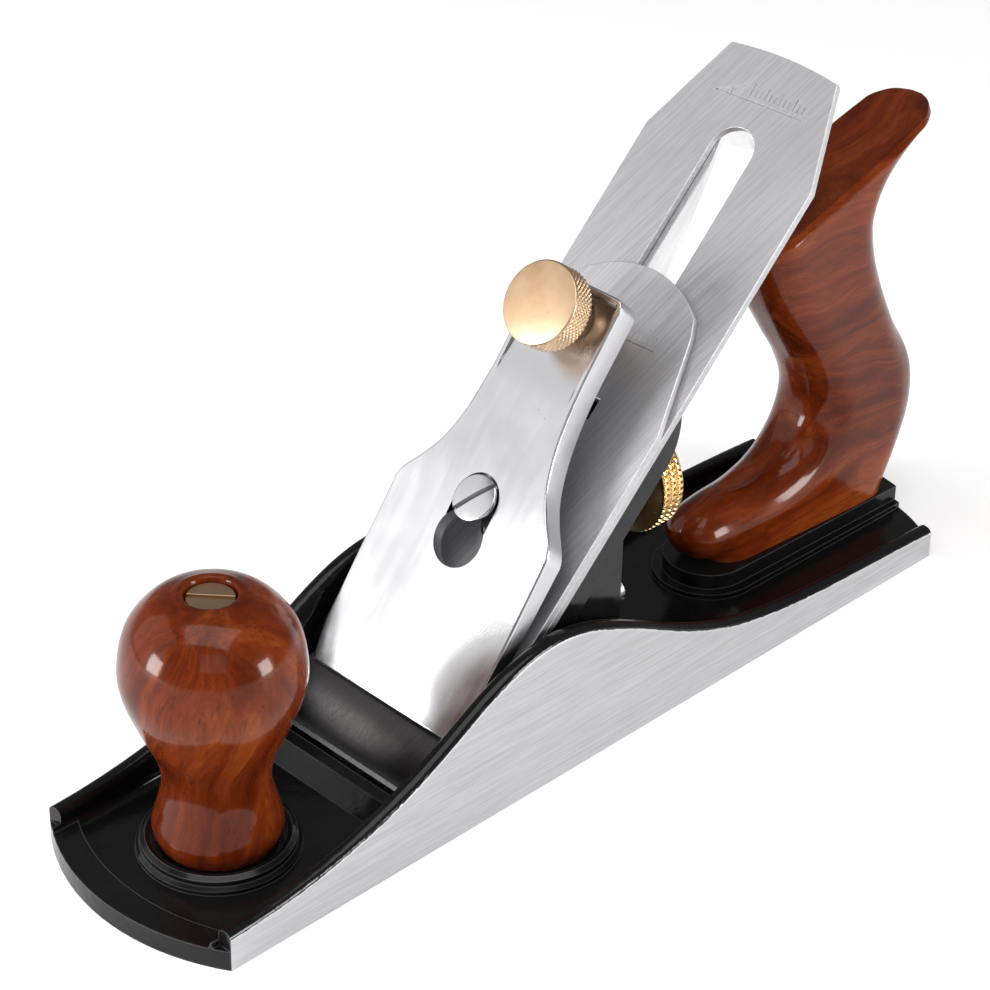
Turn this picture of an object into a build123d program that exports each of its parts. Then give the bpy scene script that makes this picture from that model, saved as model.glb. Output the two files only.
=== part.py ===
"""Bench smoothing plane: iron body, wooden knob and tote, frog, cutting iron and its adjusters.

Frame: +Z up, sole on z = 0, toe towards -X, heel towards +X, origin under the middle of the
whole plane. Bed coordinates: u runs up the bed from the sole line, d stands off its surface.
"""
from build123d import *
from math import cos, radians, sin, sqrt, tan
import os

# ---------------------------------------------------------------- driving dimensions, mm
body_width = 61.0
toe_corner_x = -119.9
heel_corner_x = 111.3
end_bulge = 9.0
floor_z = 4.0
cheek_thickness = 4.0
cheek_inner_y = body_width / 2 - cheek_thickness

edge_line_x = -59.7
iron_thickness = 2.0
iron_width = 50.2
iron_top_u = 193.6
iron_edge_u = 4.6
iron_clip_u = 167.2
iron_top_width = 31.9
slot_width = 12.2
iron_slot_low_u = 66.0
iron_slot_top_u = 174.6

mouth_front_x = -62.2
rib_top_z = 8.0
frog_seat_z = 9.0
frog_rear_x = 5.0
frog_half_width = 24.0

knob_x = -97.3
knob_base_z = 6.2
tote_base_z = 9.4
tote_half_thickness = 11.5

cap_screw_u = 70.0
keyhole_u = 60.5
breaker_screw_u = 86.5
yoke_tip_u = 101.8
lever_pivot_u = 117.5
lever_rest_angle = 11.0
thumb_u = 115.2

wheel_z = 45.5
wheel_front_x = 27.1
wheel_width = 7.2
wheel_radius = 14.5
yoke_pivot_x = 22.3
yoke_pivot_z = 62.0
fork_x = 21.0

adjuster_z = 14.0
frog_screw_x = -18.0
frog_screw_y = 11.0

half = sqrt(0.5)
bed = Plane(origin=(edge_line_x, 0, 0), x_dir=(1, 0, 1), z_dir=(-1, 0, 1))
bed_side = Plane(origin=(edge_line_x, 0, 0), x_dir=(1, 0, 1), z_dir=(0, -1, 0))


# the tote's rod leans back from foot to head
rod_foot = (111.0, tote_base_z)
rod_head = (80.0, 98.2)
rod_lean = Vector(rod_head[0] - rod_foot[0], 0, rod_head[1] - rod_foot[1])
rod_plane = Plane(origin=(rod_foot[0], 0, rod_foot[1]), x_dir=(0, 1, 0), z_dir=rod_lean.normalized())


def bed_point(u, d):
    """X and Z of a point given by its bed coordinates."""
    return (edge_line_x + half * (u - d), half * (u + d))


def bed_x(d, z):
    """X where a plane parallel to the bed, offset by d, reaches height z."""
    return edge_line_x + z - d / half


def end_arc(corner_x, bulge, inset=0.0):
    """Three points of the rounded toe or heel outline."""
    half_width = body_width / 2 - inset
    return [(corner_x, -half_width), (corner_x + bulge, 0), (corner_x, half_width)]


def save(part, name):
    """Label a finished part and write it as its own node."""
    part.label = name
    export_step(part, f"parts/{name}.step")


os.makedirs("parts", exist_ok=True)

# ---------------------------------------------------------------- plane body casting
cheek_top = [
    (toe_corner_x, 9.4),
    (-99.0, 11.4),
    (-79.0, 16.3),
    (-59.7, 24.6),
    (-42.0, 34.2),
    (-23.0, 38.6),
    (-4.0, 33.4),
    (14.6, 24.0),
    (34.0, 15.8),
    (60.0, 10.9),
    (heel_corner_x, 8.0),
]
cheek_round = 1.7
rib_front_x = -69.6
rib_slope = 4.2
seat_half_width = 20.0
seat_rear_x = 9.0
lug_front_x = 10.5
lug_rear_x = 17.0
boss_radius = 18.2
bead_radius = 16.1
pad_nose_x = 60.6
border_width = 6.9
border_z = 5.0
foot_round = 2.5
pad_rear_x = 122.0

with BuildPart() as body:
    with BuildSketch():
        with BuildLine():
            toe = ThreePointArc(*end_arc(toe_corner_x, -end_bulge))
            heel = ThreePointArc(*end_arc(heel_corner_x, end_bulge))
            Line(toe @ 0, heel @ 0)
            Line(toe @ 1, heel @ 1)
        make_face()
    extrude(amount=floor_z)
    for side in (-1, 1):
        with BuildSketch(Plane.XZ.offset(-side * body_width / 2)):
            with BuildLine():
                crest = Spline(*cheek_top)
                Line(crest @ 0, (toe_corner_x, 0))
                Line((toe_corner_x, 0), (heel_corner_x, 0))
                Line((heel_corner_x, 0), crest @ 1)
            make_face()
        extrude(amount=side * cheek_thickness)
    crest_edges = body.edges().filter_by(
        lambda e: e.length > 200 and e.center().Z > 5 and not e.geom_type == GeomType.LINE
    )
    fillet(crest_edges, cheek_round)

    # raised border along the toe, outside an arc that repeats the toe's own
    with BuildSketch():
        with BuildLine():
            outer = ThreePointArc(*end_arc(toe_corner_x, -end_bulge))
            inner = ThreePointArc(*end_arc(toe_corner_x + border_width, -end_bulge))
            Line(outer @ 0, inner @ 0)
            Line(outer @ 1, inner @ 1)
        make_face()
    extrude(amount=border_z)

    # concave foot where the floor meets each cheek
    for side in (-1, 1):
        foot_y = side * (cheek_inner_y - foot_round)
        with BuildSketch(Plane.YZ.offset(toe_corner_x - end_bulge)):
            with BuildLine():
                RadiusArc((foot_y, floor_z), (side * cheek_inner_y, floor_z + foot_round), -side * foot_round)
                Polyline(
                    (side * cheek_inner_y, floor_z + foot_round),
                    (side * (cheek_inner_y + 1), floor_z - 1),
                    (foot_y, floor_z - 1),
                    (foot_y, floor_z),
                )
            make_face()
        extrude(amount=heel_corner_x - toe_corner_x + 2 * end_bulge)

    # cross rib before the mouth, its front sloping down to the floor
    with BuildSketch(Plane.XZ.offset(-cheek_inner_y)):
        Polygon(
            (rib_front_x, floor_z - 1),
            (rib_front_x, floor_z),
            (rib_front_x + rib_slope, rib_top_z),
            (mouth_front_x, rib_top_z),
            (mouth_front_x, floor_z - 1),
            align=None,
        )
    extrude(amount=2 * cheek_inner_y)

    # frog seat behind the mouth, and the lug that holds the frog adjusting screw
    with Locations(((edge_line_x + seat_rear_x) / 2, 0, frog_seat_z / 2)):
        Box(seat_rear_x - edge_line_x, 2 * seat_half_width, frog_seat_z)
    with Locations(((lug_front_x + lug_rear_x) / 2, 0, 12.0)):
        Box(lug_rear_x - lug_front_x, 12.0, 16.0)

    # knob seat: low boss with a raised bead ring
    with BuildSketch(Plane.XZ):
        with Locations((knob_x, 0)):
            Polygon((0, 2), (0, knob_base_z), (14.9, knob_base_z), (14.9, 2), align=None)
            Polygon(
                (14, 2),
                (14, 5.8),
                (boss_radius - 0.8, 5.8),
                (boss_radius, 5.0),
                (boss_radius, 2),
                align=None,
            )
            Polygon((14.9, 5), (14.9, 7.2), (bead_radius, 7.7), (17.3, 7.0), (17.3, 5), align=None)
    revolve(axis=Axis((knob_x, 0, 0), (0, 0, 1)))

    # raised pad under the tote, running out to the heel, with a lower step round it
    for pad_z, nose_radius, rear_half in ((tote_base_z, 11.0, 12.8), (5.4, 13.6, 14.6)):
        with BuildSketch():
            with Locations((pad_nose_x, 0)):
                Circle(nose_radius)
            Polygon(
                (pad_nose_x, -nose_radius),
                (pad_rear_x, -rear_half),
                (pad_rear_x, rear_half),
                (pad_nose_x, nose_radius),
                align=None,
            )
        extrude(amount=pad_z)

    # trim everything to the rounded toe and heel
    with BuildSketch():
        with BuildLine():
            toe = ThreePointArc(*end_arc(toe_corner_x, -end_bulge))
            heel = ThreePointArc(*end_arc(heel_corner_x, end_bulge))
            Line(toe @ 0, heel @ 0)
            Line(toe @ 1, heel @ 1)
        make_face()
    extrude(amount=60, mode=Mode.INTERSECT)

    # mouth: upright front wall, rear wall parallel to the bed
    mouth_clear = 0.4
    with BuildSketch(Plane.XZ.offset(-cheek_inner_y)):
        Polygon(
            (mouth_front_x, -1),
            (mouth_front_x, frog_seat_z + 1),
            (bed_x(-iron_thickness - mouth_clear, frog_seat_z + 1), frog_seat_z + 1),
            (bed_x(-iron_thickness - mouth_clear, -1), -1),
            align=None,
        )
    extrude(amount=2 * cheek_inner_y, mode=Mode.SUBTRACT)

    # holes for the frog screws, the adjusting screw and the two handle rods
    with Locations(*[(frog_screw_x, y, frog_seat_z) for y in (-frog_screw_y, frog_screw_y)]):
        Hole(3.0, depth=7.5)
    with Locations(Location((0, 0, adjuster_z), (0, 90, 0))):
        with Locations((0, 0, 13.0)):
            Cylinder(2.56, 14.0, mode=Mode.SUBTRACT)
    with Locations((knob_x, 0, knob_base_z)):
        Hole(3.0, depth=4.4)
    with Locations(rod_plane):
        Cylinder(3.0, 8.4, mode=Mode.SUBTRACT)
save(body.part, "plane_body")

# ---------------------------------------------------------------- front knob, its rod and nut
knob_nut_z = 68.8
nut_slot_angle = -48.0
with BuildPart() as knob:
    with BuildSketch(Plane.XZ):
        with BuildLine():
            flank = Spline(
                (13.0, knob_base_z), (14.6, 10.8), (11.9, 22.0), (15.4, 35.0), (20.2, 52.0), (8.0, 69.9)
            )
            Line(flank @ 1, (0, 69.9))
            Line((0, 69.9), (0, knob_base_z))
            Line((0, knob_base_z), flank @ 0)
        make_face()
    revolve(axis=Axis.Z)
    with Locations((0, 0, 70.5)):
        Hole(5.9, depth=9.5)
    Cylinder(3.1, 160, mode=Mode.SUBTRACT)
knob_placed = knob.part.moved(Location((knob_x, 0, 0)))
save(knob_placed, "knob")

with BuildPart() as knob_rod:
    with Locations((knob_x, 0, 34.0)):
        Cylinder(3.0, 63.0)
save(knob_rod.part, "knob_rod")

with BuildPart() as knob_nut:
    with Locations((knob_x, 0, knob_nut_z - 3.6)):
        Cylinder(5.2, 7.2)
    with Locations(Location((knob_x, 0, knob_nut_z), (0, 0, nut_slot_angle))):
        Box(12.0, 1.2, 2.4, mode=Mode.SUBTRACT)
    with Locations((knob_x, 0, 61.5)):
        Cylinder(3.0, 8.0, mode=Mode.SUBTRACT)
save(knob_nut.part, "knob_nut")

# ---------------------------------------------------------------- tote, its rod and nut
tote_front = [
    (49.4, -5.0),
    (49.0, 9.0),
    (49.4, 19.0),
    (60.1, 25.0),
    (80.0, 26.6),
    (91.3, 40.0),
    (79.7, 63.8),
    (61.5, 103.0),
]
tote_horn = [(123.4, 112.0), (128.75, 111.6), (126.0, 108.2)]
tote_back = [
    (126.0, 108.2),
    (116.0, 102.6),
    (107.2, 91.0),
    (111.4, 72.3),
    (125.6, 38.0),
    (118.4, tote_base_z),
    (114.5, -5.0),
]
tote_top = [(66.0, 93.3), (123.4, 112.0)]
tote_nose = [(57.0, tote_base_z), (50.4, 14.0), (48.6, 20.0)]
finger_round = 5.5
palm_round = 7.0

with BuildPart() as tote:
    with BuildSketch(Plane.XZ.offset(-tote_half_thickness)):
        with BuildLine():
            front = Spline(*tote_front)
            horn = Spline(*tote_horn)
            back = Spline(*tote_back)
            Line(front @ 1, horn @ 0)
            Line(back @ 1, front @ 0)
        make_face()
    extrude(amount=2 * tote_half_thickness)
    long_edges = tote.edges().filter_by(GeomType.BSPLINE).filter_by(lambda e: e.length > 30)
    finger_edges = long_edges.filter_by(lambda e: e.center().X < 100)
    fillet(finger_edges, finger_round)
    long_edges = tote.edges().filter_by(GeomType.BSPLINE).filter_by(lambda e: e.length > 30)
    palm_edges = long_edges.filter_by(lambda e: e.bounding_box().min.X > 100)
    fillet(palm_edges, palm_round)
    # flat foot, sloping flat top and the undercut below the nose
    with Locations((90.0, 0, tote_base_z - 15.0)):
        Box(120.0, 60.0, 30.0, mode=Mode.SUBTRACT)
    with BuildSketch(Plane.XZ.offset(-30.0)):
        Polygon(tote_top[0], tote_top[1], (123.4, 140.0), (30.0, 140.0), (30.0, 81.57), align=None)
    extrude(amount=60.0, mode=Mode.SUBTRACT)
    with BuildSketch(Plane.XZ.offset(-30.0)):
        with BuildLine():
            undercut = Spline(*tote_nose)
            Line(undercut @ 1, (40.0, 20.0))
            Line((40.0, 20.0), (40.0, 5.0))
            Line((40.0, 5.0), undercut @ 0)
        make_face()
    extrude(amount=60.0, mode=Mode.SUBTRACT)
    with Locations(rod_plane):
        Cylinder(3.1, 220, mode=Mode.SUBTRACT)
        with Locations((0, 0, rod_lean.length)):
            Cylinder(5.8, 10.0, mode=Mode.SUBTRACT)
save(tote.part, "tote")

with BuildPart() as tote_rod:
    with Locations(rod_plane):
        with Locations((0, 0, 41.0)):
            Cylinder(3.0, 90.0)
save(tote_rod.part, "tote_rod")

with BuildPart() as tote_nut:
    with Locations(rod_plane):
        with Locations((0, 0, rod_lean.length - 1.6)):
            Cylinder(5.3, 6.6)
            with Locations((0, 0, 3.3)):
                Box(1.2, 12.0, 2.4, mode=Mode.SUBTRACT)
        with Locations((0, 0, 84.0)):
            Cylinder(3.0, 9.0, mode=Mode.SUBTRACT)
save(tote_nut.part, "tote_nut")

# ---------------------------------------------------------------- frog
plate_bottom = -9.0
bed_front = bed_point(0, -iron_thickness)
corner_u = 98.0
crown_u = 121.5
foot_top_z = 14.0
web_half = 4.0
pocket_outer = 18.0
cap_boss_depth = -13.5
ear_inner = 8.0
ear_outer = 11.5
yoke_pivot_d = -14.14

with BuildPart() as frog:
    # bed plate with sloping underside, then the webs that carry it down to the foot
    with BuildSketch(Plane.XZ.offset(-frog_half_width)):
        Polygon(
            (frog_seat_z + bed_front[0] - bed_front[1], frog_seat_z),
            bed_point(corner_u, -iron_thickness),
            bed_point(corner_u, plate_bottom),
            (bed_point(0, plate_bottom)[0] - bed_point(0, plate_bottom)[1] + frog_seat_z, frog_seat_z),
            align=None,
        )
    extrude(amount=2 * frog_half_width)
    with BuildSketch(Plane.XZ.offset(-22.0)):
        Polygon(
            (-40.0, frog_seat_z),
            (frog_rear_x, frog_seat_z),
            (frog_rear_x, 54.0),
            (-30.0, 20.0),
            align=None,
        )
    extrude(amount=44.0)
    for side in (-1, 1):
        with BuildSketch(Plane.XZ.offset(-side * web_half)):
            Polygon(
                (-32.9, foot_top_z),
                (frog_rear_x + 1, foot_top_z),
                (frog_rear_x + 1, foot_top_z + frog_rear_x + 1 + 32.9),
                align=None,
            )
        extrude(amount=-side * (pocket_outer - web_half), mode=Mode.SUBTRACT)

    # arched top of the bed
    with BuildSketch(bed.offset(plate_bottom)):
        with BuildLine():
            arch = ThreePointArc((corner_u, -frog_half_width), (crown_u, 0), (corner_u, frog_half_width))
            Line(arch @ 0, (corner_u - 4, -frog_half_width))
            Line((corner_u - 4, -frog_half_width), (corner_u - 4, frog_half_width))
            Line((corner_u - 4, frog_half_width), arch @ 1)
        make_face()
    extrude(amount=-iron_thickness - plate_bottom)

    # bosses for the wheel stud and the lever cap screw, and ears for the yoke pin
    with Locations(Location((6.2, 0, wheel_z), (0, 90, 0))):
        Cylinder(7.0, 12.6)
    with BuildSketch(bed.offset(cap_boss_depth)):
        with Locations((cap_screw_u, 0)):
            Circle(7.0)
    extrude(amount=6.0)
    for ear_y in (-ear_outer, ear_inner):
        with BuildSketch(bed_side.offset(-ear_y)):
            with Locations((yoke_tip_u, yoke_pivot_d)):
                Circle(4.2)
            with Locations((yoke_tip_u, (yoke_pivot_d + plate_bottom + 1) / 2)):
                Rectangle(8.4, plate_bottom + 1 - yoke_pivot_d)
        extrude(amount=-(ear_outer - ear_inner))

    # recess for the chip breaker screw's head, window for the yoke, seat for the lateral lever
    with BuildSketch(bed.offset(-7.0)):
        with Locations((84.0, 0)):
            SlotOverall(26.0, 16.0)
    extrude(amount=6.0, mode=Mode.SUBTRACT)
    with BuildSketch(bed.offset(-12.0)):
        with Locations((100.0, 0)):
            Rectangle(15.0, 9.0)
    extrude(amount=12.0, mode=Mode.SUBTRACT)
    with BuildSketch(bed.offset(-3.75)):
        with Locations((115.0, 0)):
            Rectangle(18.0, 25.0)
    extrude(amount=3.0, mode=Mode.SUBTRACT)

    # holes: lever cap screw, wheel stud, yoke pin, lever rivet
    with BuildSketch(bed.offset(-12.1)):
        with Locations((cap_screw_u, 0)):
            Circle(3.5)
    extrude(amount=12.0, mode=Mode.SUBTRACT)
    with Locations(Location((8.5, 0, wheel_z), (0, 90, 0))):
        Cylinder(3.5, 9.0, mode=Mode.SUBTRACT)
    with Locations(Location((yoke_pivot_x, 0, yoke_pivot_z), (90, 0, 0))):
        Cylinder(2.0, 2 * ear_outer, mode=Mode.SUBTRACT)
    with BuildSketch(bed.offset(plate_bottom - 1)):
        with Locations((lever_pivot_u, 0)):
            Circle(2.5)
    extrude(amount=9.0, mode=Mode.SUBTRACT)
    with Locations(Location((2.0, 0, 29.0), (0, 90, 0))):
        Cylinder(2.0, 12.0, mode=Mode.SUBTRACT)

    # slots for the frog screws, reached through upright wells in the bed
    with BuildSketch(Plane.XY.offset(frog_seat_z)):
        with Locations((frog_screw_x, -frog_screw_y), (frog_screw_x, frog_screw_y)):
            SlotOverall(10.8, 7.0)
    extrude(amount=6.0, mode=Mode.SUBTRACT)
    with BuildSketch(Plane.XY.offset(foot_top_z)):
        with Locations((frog_screw_x, -frog_screw_y), (frog_screw_x, frog_screw_y)):
            Circle(6.0)
    extrude(amount=40.0, mode=Mode.SUBTRACT)
save(frog.part, "frog")

with BuildPart() as frog_screws:
    with Locations((frog_screw_x, -frog_screw_y, 0), (frog_screw_x, frog_screw_y, 0)):
        with Locations((0, 0, 8.6)):
            Cylinder(3.0, 13.4)
        with Locations((0, 0, 17.2)):
            Cylinder(5.0, 4.0)
        with Locations((0, 0, 19.2)):
            Box(10.4, 1.4, 2.6, mode=Mode.SUBTRACT)
save(frog_screws.part, "frog_screws")

with BuildPart() as frog_washers:
    with Locations((frog_screw_x, -frog_screw_y, 14.6), (frog_screw_x, frog_screw_y, 14.6)):
        Cylinder(5.8, 1.2)
        Cylinder(3.1, 2.0, mode=Mode.SUBTRACT)
save(frog_washers.part, "frog_washers")

# ---------------------------------------------------------------- frog adjusting screw and tab
with BuildPart() as frog_adjuster:
    with Locations(Location((0, 0, adjuster_z), (0, 90, 0))):
        with Locations((0, 0, 14.1)):
            Cylinder(2.5, 12.2)
        with Locations((0, 0, 21.0)):
            Cylinder(1.8, 1.8)
        with Locations((0, 0, 24.0)):
            Cylinder(4.5, 4.4)
        with Locations((0, 0, 26.2)):
            Box(1.2, 10.0, 2.4, mode=Mode.SUBTRACT)
save(frog_adjuster.part, "frog_adjusting_screw")

with BuildPart() as frog_tab:
    with Locations((13.15, 0, 22.25)):
        Box(16.3, 10.0, 1.5)
    with Locations((20.95, 0, 17.0)):
        Box(1.2, 10.0, 12.0)
    with Locations((5.6, 0, 27.5)):
        Box(1.2, 10.0, 12.0)
    with Locations((20.95, 0, adjuster_z - 2.0)):
        Box(3.0, 3.8, 4.0, mode=Mode.SUBTRACT)
    with Locations(Location((20.95, 0, adjuster_z), (0, 90, 0))):
        Cylinder(1.9, 3.0, mode=Mode.SUBTRACT)
    with Locations(Location((5.6, 0, 29.0), (0, 90, 0))):
        Cylinder(2.0, 3.0, mode=Mode.SUBTRACT)
save(frog_tab.part, "frog_tab")

with BuildPart() as tab_screw:
    with Locations(Location((0, 0, 29.0), (0, 90, 0))):
        with Locations((0, 0, 1.1)):
            Cylinder(2.0, 10.2)
        with Locations((0, 0, 7.5)):
            Cylinder(3.6, 2.6)
        with Locations((0, 0, 8.8)):
            Box(1.0, 8.0, 1.6, mode=Mode.SUBTRACT)
save(tab_screw.part, "tab_screw")

# ---------------------------------------------------------------- depth wheel, stud, bush, yoke
wheel_rear_x = wheel_front_x + wheel_width
hub_front_x = 15.8
groove_half = 2.6
with BuildPart() as wheel_stud:
    with Locations(Location((23.0, 0, wheel_z), (0, 90, 0))):
        Cylinder(3.5, 38.0)
        chamfer(wheel_stud.edges().sort_by(Axis.X)[-1], 0.6)
save(wheel_stud.part, "wheel_stud")

with BuildPart() as wheel_bush:
    with Locations(Location(((hub_front_x + wheel_rear_x) / 2, 0, wheel_z), (0, 90, 0))):
        Cylinder(4.4, wheel_rear_x - hub_front_x)
        Cylinder(3.56, wheel_rear_x - hub_front_x, mode=Mode.SUBTRACT)
save(wheel_bush.part, "wheel_bush")

with BuildPart() as depth_wheel:
    with BuildSketch(Plane.XZ):
        with Locations((0, wheel_z)):
            Polygon(
                (hub_front_x, 4.45),
                (hub_front_x, 7.2),
                (fork_x - groove_half, 7.2),
                (fork_x - groove_half, 5.2),
                (fork_x + groove_half, 5.2),
                (fork_x + groove_half, 7.2),
                (wheel_front_x, 7.2),
                (wheel_front_x, wheel_radius - 0.7),
                (wheel_front_x + 0.7, wheel_radius),
                (wheel_rear_x - 0.5, wheel_radius),
                (wheel_rear_x, wheel_radius - 0.5),
                (wheel_rear_x, 4.45),
                align=None,
            )
            for groove in (1, 2):
                with Locations((wheel_front_x + 0.4 + groove * 2.2, wheel_radius)):
                    Rectangle(0.6, 1.2, mode=Mode.SUBTRACT)
    revolve(axis=Axis((0, 0, wheel_z), (1, 0, 0)))
save(depth_wheel.part, "depth_wheel")

with BuildPart() as yoke:
    with Locations(Location((yoke_pivot_x, 0, yoke_pivot_z), (90, 0, 0))):
        Cylinder(4.0, 15.2)
    with BuildSketch(bed_side.offset(-3.5)):
        with Locations((yoke_tip_u, (yoke_pivot_d + 2.2) / 2)):
            Rectangle(3.0, 2.2 - yoke_pivot_d)
    extrude(amount=7.0)
    for prong_y in (-7.6, 5.5):
        with BuildSketch(Plane.XZ.offset(-prong_y)):
            Polygon((19.2, 60.0), (20.2, wheel_z), (21.8, wheel_z), (24.8, 60.0), align=None)
            with Locations((fork_x, wheel_z)):
                Circle(2.2)
        extrude(amount=-2.1)
    with Locations(Location((yoke_pivot_x, 0, yoke_pivot_z), (90, 0, 0))):
        Cylinder(2.05, 30.0, mode=Mode.SUBTRACT)
save(yoke.part, "yoke")

with BuildPart() as yoke_pin:
    with Locations(Location((yoke_pivot_x, 0, yoke_pivot_z), (90, 0, 0))):
        Cylinder(2.0, 2 * ear_outer + 0.6)
save(yoke_pin.part, "yoke_pin")

# ---------------------------------------------------------------- lateral lever, roller, rivet
lever_top_d = -2.1
lever_thickness = 1.5
lever_half = 4.6
lever_end_u = 58.0
with BuildPart() as lateral_lever:
    lever_plane = bed.offset(lever_top_d - lever_thickness)
    lever_frame = lever_plane * Location((lever_pivot_u, 0, 0), (0, 0, lever_rest_angle))
    with BuildSketch(Plane(lever_frame)):
        with BuildLine():
            nose = ThreePointArc((-5.0, lever_half), (-5.0 - lever_half, 0), (-5.0, -lever_half))
            Line(nose @ 1, (lever_end_u, -lever_half))
            Line((lever_end_u, -lever_half), (lever_end_u, lever_half))
            Line((lever_end_u, lever_half), nose @ 0)
        make_face()
        Circle(2.55, mode=Mode.SUBTRACT)
    extrude(amount=lever_thickness)
    with BuildSketch(Plane(lever_frame)):
        with Locations((-5.0, 0)):
            Circle(1.5)
    extrude(amount=lever_thickness + 2.0)
    with BuildSketch(Plane(lever_frame)):
        with Locations((lever_end_u - 0.8, 0)):
            Rectangle(1.6, 2 * lever_half + 5.0)
    extrude(amount=-10.0)
save(lateral_lever.part, "lateral_lever")

with BuildPart() as lateral_roller:
    with BuildSketch(Plane((bed.offset(-2.05)) * Location((lever_pivot_u, 0, 0), (0, 0, lever_rest_angle)))):
        with Locations((-5.0, 0)):
            Circle(4.7)
            Circle(1.55, mode=Mode.SUBTRACT)
    extrude(amount=1.9)
save(lateral_roller.part, "lateral_roller")

with BuildPart() as lever_rivet:
    with BuildSketch(bed.offset(plate_bottom)):
        with Locations((lever_pivot_u, 0)):
            Circle(2.5)
    extrude(amount=-2.15 - plate_bottom)
    with BuildSketch(bed.offset(plate_bottom - 1.4)):
        with Locations((lever_pivot_u, 0)):
            Circle(4.2)
    extrude(amount=1.4)
save(lever_rivet.part, "lever_rivet")

# ---------------------------------------------------------------- cutting iron
bevel_angle = 25.0
iron_corner_u = iron_top_u - 1.2
bevel_length = iron_thickness / tan(radians(bevel_angle))
with BuildPart() as iron:
    with BuildSketch(bed.offset(-iron_thickness)):
        with BuildLine():
            top = ThreePointArc(
                (iron_corner_u, -iron_top_width / 2), (iron_top_u, 0), (iron_corner_u, iron_top_width / 2)
            )
            near = Polyline(
                (iron_edge_u, -iron_width / 2),
                (iron_clip_u, -iron_width / 2),
                (iron_corner_u, -iron_top_width / 2),
            )
            far = Polyline(
                (iron_edge_u, iron_width / 2),
                (iron_clip_u, iron_width / 2),
                (iron_corner_u, iron_top_width / 2),
            )
            Line(near @ 0, far @ 0)
        make_face()
        with Locations(((iron_slot_low_u + iron_slot_top_u) / 2, 0)):
            SlotOverall(iron_slot_top_u - iron_slot_low_u, slot_width, mode=Mode.SUBTRACT)
        with Locations((iron_slot_low_u, 0)):
            Circle(9.5, mode=Mode.SUBTRACT)
    extrude(amount=iron_thickness)
    with BuildSketch(bed_side.offset(-iron_width / 2)):
        Polygon(
            (iron_edge_u - 1, 0.0),
            (iron_edge_u, 0.0),
            (iron_edge_u + bevel_length, -iron_thickness),
            (iron_edge_u + bevel_length, -iron_thickness - 1),
            (iron_edge_u - 1, -iron_thickness - 1),
            align=None,
        )
    extrude(amount=iron_width, mode=Mode.SUBTRACT)
save(iron.part, "cutting_iron")

# ---------------------------------------------------------------- chip breaker and its screw
breaker_edge_u = 5.8
breaker_top_u = 136.0
with BuildPart() as breaker:
    with BuildSketch(bed_side.offset(-iron_width / 2)):
        with BuildLine():
            hump = Spline(
                (26.0, 2.0),
                (21.5, 3.7),
                (17.0, 5.2),
                (11.5, 4.4),
                (breaker_edge_u, 0.35),
                tangents=[(-1, 0.1), (-0.6, -1)],
            )
            hollow = Spline(
                (7.6, 0.0),
                (12.0, 2.6),
                (17.0, 3.2),
                (21.0, 1.7),
                (26.0, 0.0),
                tangents=[(0.6, 1), (1, -0.1)],
            )
            Line(hump @ 1, (breaker_edge_u, 0.0))
            Line((breaker_edge_u, 0.0), hollow @ 0)
            Line(hollow @ 1, (breaker_top_u, 0.0))
            Line((breaker_top_u, 0.0), (breaker_top_u, 2.0))
            Line((breaker_top_u, 2.0), hump @ 0)
        make_face()
    extrude(amount=iron_width)
    with BuildSketch(bed):
        with BuildLine():
            crown = ThreePointArc((129.8, -17.0), (breaker_top_u, 0), (129.8, 17.0))
            near = Polyline((breaker_edge_u, -25.1), (102.0, -25.1), (125.5, -19.0), (129.8, -17.0))
            far = Polyline((breaker_edge_u, 25.1), (102.0, 25.1), (125.5, 19.0), (129.8, 17.0))
            Line(near @ 0, far @ 0)
        make_face()
    extrude(amount=8.0, mode=Mode.INTERSECT)
    with BuildSketch(bed.offset(-1)):
        with Locations((72.0, 0)):
            SlotOverall(17.0, 9.6)
        with Locations((breaker_screw_u, 0)):
            Circle(3.26)
        with Locations((yoke_tip_u - 0.3, 0)):
            Rectangle(5.6, 12.4)
    extrude(amount=4.0, mode=Mode.SUBTRACT)
save(breaker.part, "chip_breaker")

with BuildPart() as breaker_screw:
    with BuildSketch(bed.offset(-6.0)):
        with Locations((breaker_screw_u, 0)):
            Circle(7.0)
    extrude(amount=3.9)
    with BuildSketch(bed.offset(-2.2)):
        with Locations((breaker_screw_u, 0)):
            Circle(3.2)
    extrude(amount=4.6)
    with BuildSketch(bed.offset(-6.5)):
        with Locations((breaker_screw_u, 0)):
            Rectangle(16.0, 1.4)
    extrude(amount=1.9, mode=Mode.SUBTRACT)
save(breaker_screw.part, "chip_breaker_screw")

# ---------------------------------------------------------------- lever cap and its screw
cap_rise = 0.155
cap_front_u = 20.3
cap_end_u = 123.4
cap_front_d = 6.25


def cap_top(u):
    """Height of the lever cap's upper face over the bed."""
    return cap_front_d + cap_rise * (u - cap_front_u)


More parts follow.
